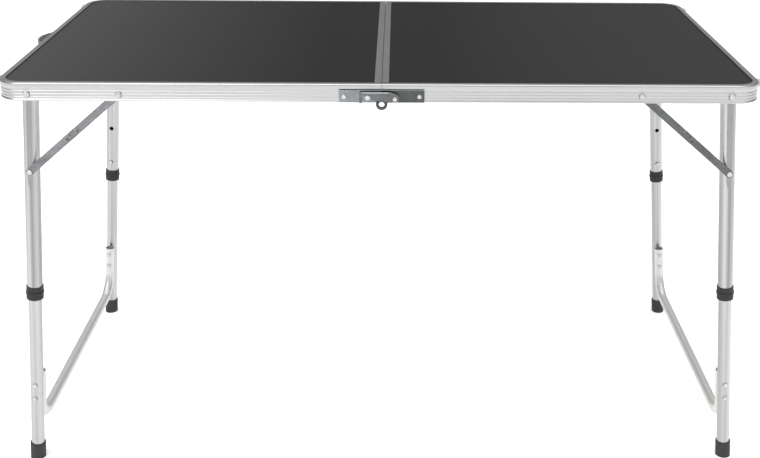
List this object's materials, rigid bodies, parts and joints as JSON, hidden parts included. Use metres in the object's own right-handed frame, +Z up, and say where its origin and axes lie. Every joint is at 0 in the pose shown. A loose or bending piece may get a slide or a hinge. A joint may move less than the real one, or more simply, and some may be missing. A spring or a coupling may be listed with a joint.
{
  "type": "folding table",
  "caption": "Folding camping table: framed boards hinged in the middle, folding telescopic legs with jointed braces, crossbars and an end handle.",
  "frame": {"origin": "on the floor under the middle of the top, with the legs open and fully extended", "axes": "+X along the length towards the end without the handle, -Y towards the front, +Z up"},
  "size_m": [1.2574, 0.6222, 0.7],
  "materials": {
    "rail_aluminium": "satin extruded aluminium with fine lengthwise lines",
    "tube_aluminium": "satin drawn aluminium tube",
    "zinc_steel": "bright zinc-plated pressed steel",
    "rivet_metal": "bright domed rivets",
    "board_laminate": "matt charcoal laminate",
    "board_core": "plain fibreboard",
    "black_plastic": "matt black moulding",
    "black_rubber": "matt dark rubber",
    "grey_plastic": "satin grey moulding"
  },
  "bodies": {
    "left_half": {"left_edge_rail": "rail_aluminium", "left_centre_rail": "rail_aluminium", "left_board_core": "board_core", "left_board_laminate": "board_laminate", "left_frame_rivets": "rivet_metal", "left_leg_bushes": "black_plastic", "left_plate_rivets": "rivet_metal", "left_end_catches": "grey_plastic", "left_front_hinge_plate": "zinc_steel", "left_rear_hinge_plate": "zinc_steel", "front_hinge_eyelet": "zinc_steel", "rear_hinge_eyelet": "zinc_steel", "carry_handle": "grey_plastic", "handle_screws": "zinc_steel"},
    "left_outer_legs": {"left_front_upper_tube": "tube_aluminium", "left_front_collar": "black_plastic", "left_rear_upper_tube": "tube_aluminium", "left_rear_collar": "black_plastic", "left_leg_rivets": "rivet_metal"},
    "left_inner_legs": {"left_front_lower_tube": "tube_aluminium", "left_front_foot_cap": "black_rubber", "left_rear_lower_tube": "tube_aluminium", "left_rear_foot_cap": "black_rubber", "left_crossbar": "tube_aluminium", "left_crossbar_rivets": "rivet_metal"},
    "left_front_button": {"left_front_button": "rivet_metal"},
    "left_front_upper_arm": {"left_front_upper_arm": "zinc_steel"},
    "left_front_lower_arm": {"left_front_lower_arm": "zinc_steel"},
    "left_rear_button": {"left_rear_button": "rivet_metal"},
    "left_rear_upper_arm": {"left_rear_upper_arm": "zinc_steel"},
    "left_rear_lower_arm": {"left_rear_lower_arm": "zinc_steel"},
    "right_half": {"right_edge_rail": "rail_aluminium", "right_centre_rail": "rail_aluminium", "right_board_core": "board_core", "right_board_laminate": "board_laminate", "right_frame_rivets": "rivet_metal", "right_leg_bushes": "black_plastic", "right_plate_rivets": "rivet_metal", "right_end_catches": "grey_plastic", "right_front_hinge_plate": "zinc_steel", "right_rear_hinge_plate": "zinc_steel"},
    "right_outer_legs": {"right_front_upper_tube": "tube_aluminium", "right_front_collar": "black_plastic", "right_rear_upper_tube": "tube_aluminium", "right_rear_collar": "black_plastic", "right_leg_rivets": "rivet_metal"},
    "right_inner_legs": {"right_front_lower_tube": "tube_aluminium", "right_front_foot_cap": "black_rubber", "right_rear_lower_tube": "tube_aluminium", "right_rear_foot_cap": "black_rubber", "right_crossbar": "tube_aluminium", "right_crossbar_rivets": "rivet_metal"},
    "right_front_button": {"right_front_button": "rivet_metal"},
    "right_front_upper_arm": {"right_front_upper_arm": "zinc_steel"},
    "right_front_lower_arm": {"right_front_lower_arm": "zinc_steel"},
    "right_rear_button": {"right_rear_button": "rivet_metal"},
    "right_rear_upper_arm": {"right_rear_upper_arm": "zinc_steel"},
    "right_rear_lower_arm": {"right_rear_lower_arm": "zinc_steel"},
    "front_latch": {"front_latch_hook": "zinc_steel"},
    "rear_latch": {"rear_latch_hook": "zinc_steel"}
  },
  "joints": [
    {"name": "top_fold", "type": "hinge", "parent": "left_half", "child": "right_half", "pos_m": [0, 0, 0.6687], "axis": [0, 1, 0], "range_deg": [0, 50]},
    {"name": "left_leg_fold", "type": "hinge", "parent": "left_half", "child": "left_outer_legs", "pos_m": [-0.55, 0, 0.682], "axis": [0, -1, 0], "range_deg": [0, 92.5]},
    {"name": "left_leg_height", "type": "slide", "parent": "left_outer_legs", "child": "left_inner_legs", "axis": [0.0958, 0, 0.9954], "range_m": [0, 0.15]},
    {"name": "left_front_button_press", "type": "slide", "parent": "left_outer_legs", "child": "left_front_button", "axis": [0, 1, 0], "range_m": [-0.003, 0], "stiffness_N_per_m": 600, "springref_m": 0.001},
    {"name": "left_front_upper_arm_turn", "type": "hinge", "parent": "left_half", "child": "left_front_upper_arm", "pos_m": [-0.408, -0.2958, 0.682], "axis": [0, -1, 0], "range_deg": [0, 136]},
    {"name": "left_front_lower_arm_turn", "type": "hinge", "parent": "left_outer_legs", "child": "left_front_lower_arm", "pos_m": [-0.56284, -0.289, 0.54862], "axis": [0, -1, 0], "range_deg": [-133.5, 0]},
    {"name": "left_rear_button_press", "type": "slide", "parent": "left_outer_legs", "child": "left_rear_button", "axis": [0, -1, 0], "range_m": [-0.003, 0], "stiffness_N_per_m": 600, "springref_m": 0.001},
    {"name": "left_rear_upper_arm_turn", "type": "hinge", "parent": "left_half", "child": "left_rear_upper_arm", "pos_m": [-0.408, 0.2958, 0.682], "axis": [0, -1, 0], "range_deg": [0, 136]},
    {"name": "left_rear_lower_arm_turn", "type": "hinge", "parent": "left_outer_legs", "child": "left_rear_lower_arm", "pos_m": [-0.56284, 0.289, 0.54862], "axis": [0, -1, 0], "range_deg": [-133.5, 0]},
    {"name": "right_leg_fold", "type": "hinge", "parent": "right_half", "child": "right_outer_legs", "pos_m": [0.55, 0, 0.682], "axis": [0, 1, 0], "range_deg": [0, 92.5]},
    {"name": "right_leg_height", "type": "slide", "parent": "right_outer_legs", "child": "right_inner_legs", "axis": [-0.0958, 0, 0.9954], "range_m": [0, 0.15]},
    {"name": "right_front_button_press", "type": "slide", "parent": "right_outer_legs", "child": "right_front_button", "axis": [0, 1, 0], "range_m": [-0.003, 0], "stiffness_N_per_m": 600, "springref_m": 0.001},
    {"name": "right_front_upper_arm_turn", "type": "hinge", "parent": "right_half", "child": "right_front_upper_arm", "pos_m": [0.408, -0.2958, 0.682], "axis": [0, 1, 0], "range_deg": [0, 136]},
    {"name": "right_front_lower_arm_turn", "type": "hinge", "parent": "right_outer_legs", "child": "right_front_lower_arm", "pos_m": [0.56284, -0.289, 0.54862], "axis": [0, 1, 0], "range_deg": [-133.5, 0]},
    {"name": "right_rear_button_press", "type": "slide", "parent": "right_outer_legs", "child": "right_rear_button", "axis": [0, -1, 0], "range_m": [-0.003, 0], "stiffness_N_per_m": 600, "springref_m": 0.001},
    {"name": "right_rear_upper_arm_turn", "type": "hinge", "parent": "right_half", "child": "right_rear_upper_arm", "pos_m": [0.408, 0.2958, 0.682], "axis": [0, 1, 0], "range_deg": [0, 136]},
    {"name": "right_rear_lower_arm_turn", "type": "hinge", "parent": "right_outer_legs", "child": "right_rear_lower_arm", "pos_m": [0.56284, 0.289, 0.54862], "axis": [0, 1, 0], "range_deg": [-133.5, 0]},
    {"name": "front_latch_lift", "type": "hinge", "parent": "right_half", "child": "front_latch", "pos_m": [0.0206, -0.3055, 0.6785], "axis": [0, 1, 0], "range_deg": [0, 70]},
    {"name": "rear_latch_lift", "type": "hinge", "parent": "right_half", "child": "rear_latch", "pos_m": [0.0206, 0.3055, 0.6785], "axis": [0, 1, 0], "range_deg": [0, 70]}
  ],
  "couplings": [
    {"joint": "left_front_upper_arm_turn", "follows": "left_leg_fold", "ratio": 1.4646},
    {"joint": "left_front_lower_arm_turn", "follows": "left_leg_fold", "ratio": -1.4373},
    {"joint": "left_rear_upper_arm_turn", "follows": "left_leg_fold", "ratio": 1.4646},
    {"joint": "left_rear_lower_arm_turn", "follows": "left_leg_fold", "ratio": -1.4373},
    {"joint": "right_front_upper_arm_turn", "follows": "right_leg_fold", "ratio": 1.4646},
    {"joint": "right_front_lower_arm_turn", "follows": "right_leg_fold", "ratio": -1.4373},
    {"joint": "right_rear_upper_arm_turn", "follows": "right_leg_fold", "ratio": 1.4646},
    {"joint": "right_rear_lower_arm_turn", "follows": "right_leg_fold", "ratio": -1.4373}
  ]
}
